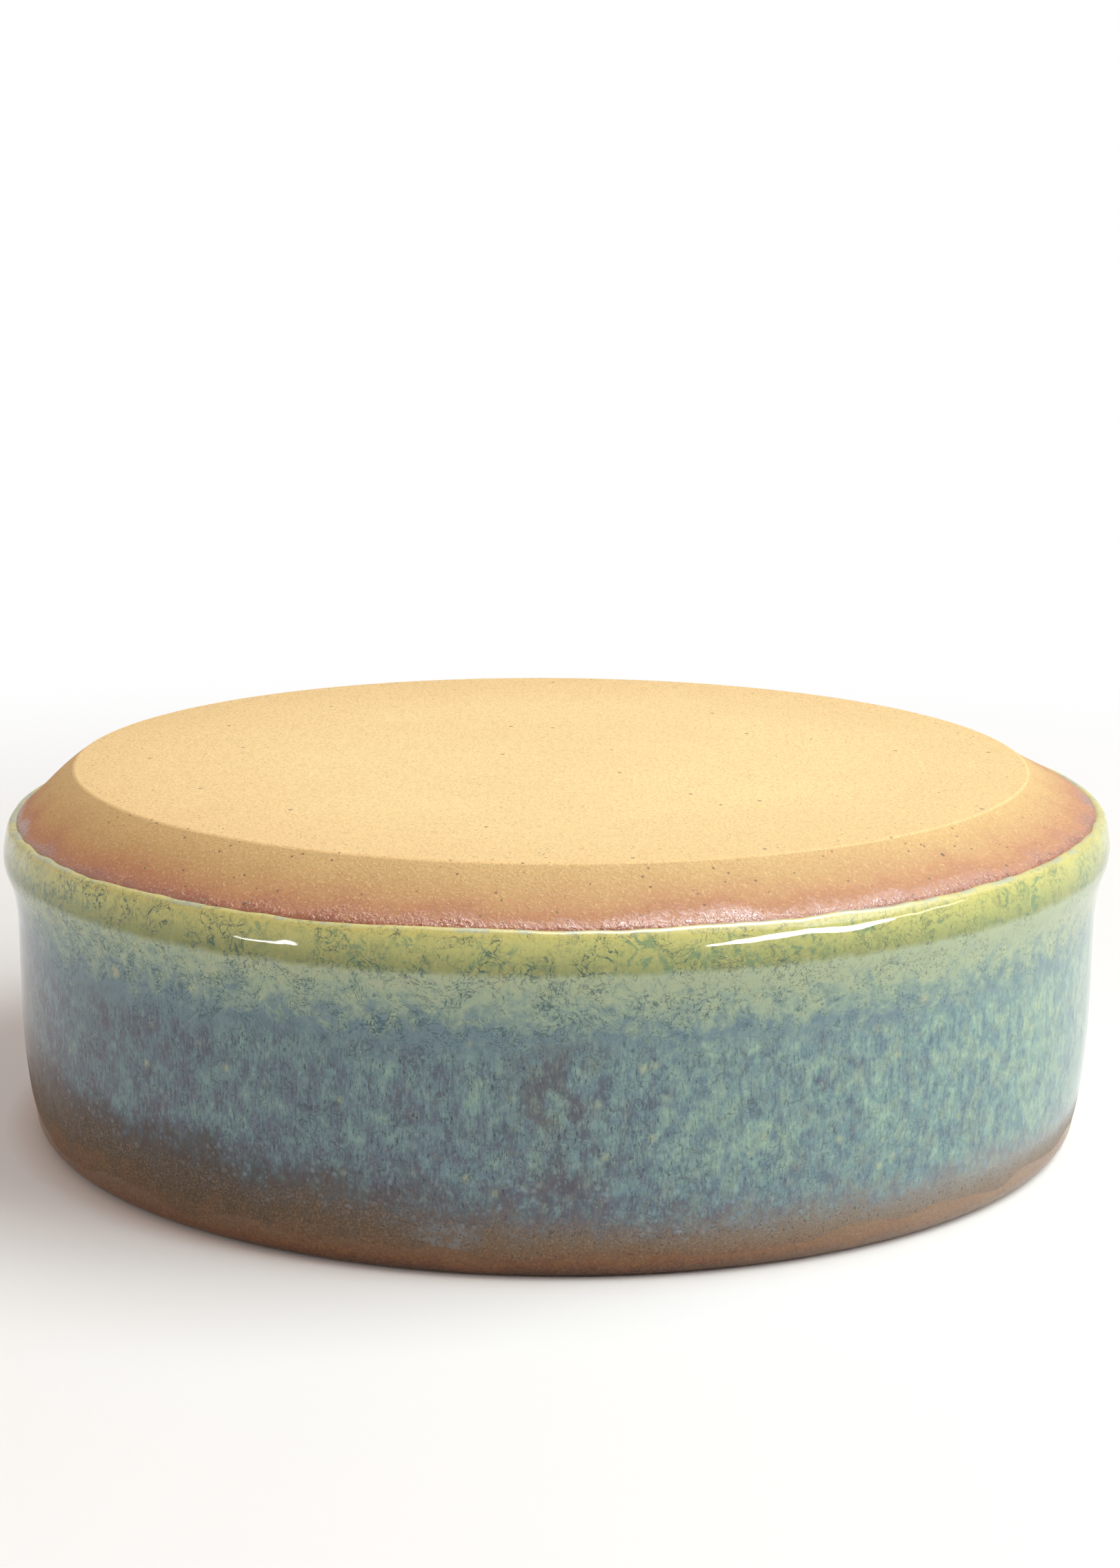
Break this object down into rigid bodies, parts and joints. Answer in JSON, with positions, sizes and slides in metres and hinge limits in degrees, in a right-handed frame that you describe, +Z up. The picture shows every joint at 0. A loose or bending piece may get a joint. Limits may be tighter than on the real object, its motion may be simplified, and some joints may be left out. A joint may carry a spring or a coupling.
{
  "type": "stoneware bowl",
  "caption": "Low, straight-sided thrown stoneware bowl lying upside down on its lip, with a thick roll of green glaze below its bare trimmed foot.",
  "frame": {"origin": "on the wheel's axis, in the plane of the lip that the bowl stands on, which is the bottom centre of its box", "axes": "+Z up along the wheel's axis, from the lip to the foot: the bowl lies upside down as in the picture. Half a turn about X stands it on its foot. The bowl is round, so +X and +Y are free; the picture looks along +Y"},
  "size_m": [0.18, 0.18, 0.059],
  "materials": {
    "bare_clay": "matte",
    "outside_glaze": "gloss",
    "liner_glaze": "gloss"
  },
  "bodies": {
    "root": {"clay_body": "bare_clay", "outer_glaze": "outside_glaze", "inner_glaze": "liner_glaze"}
  },
  "joints": []
}
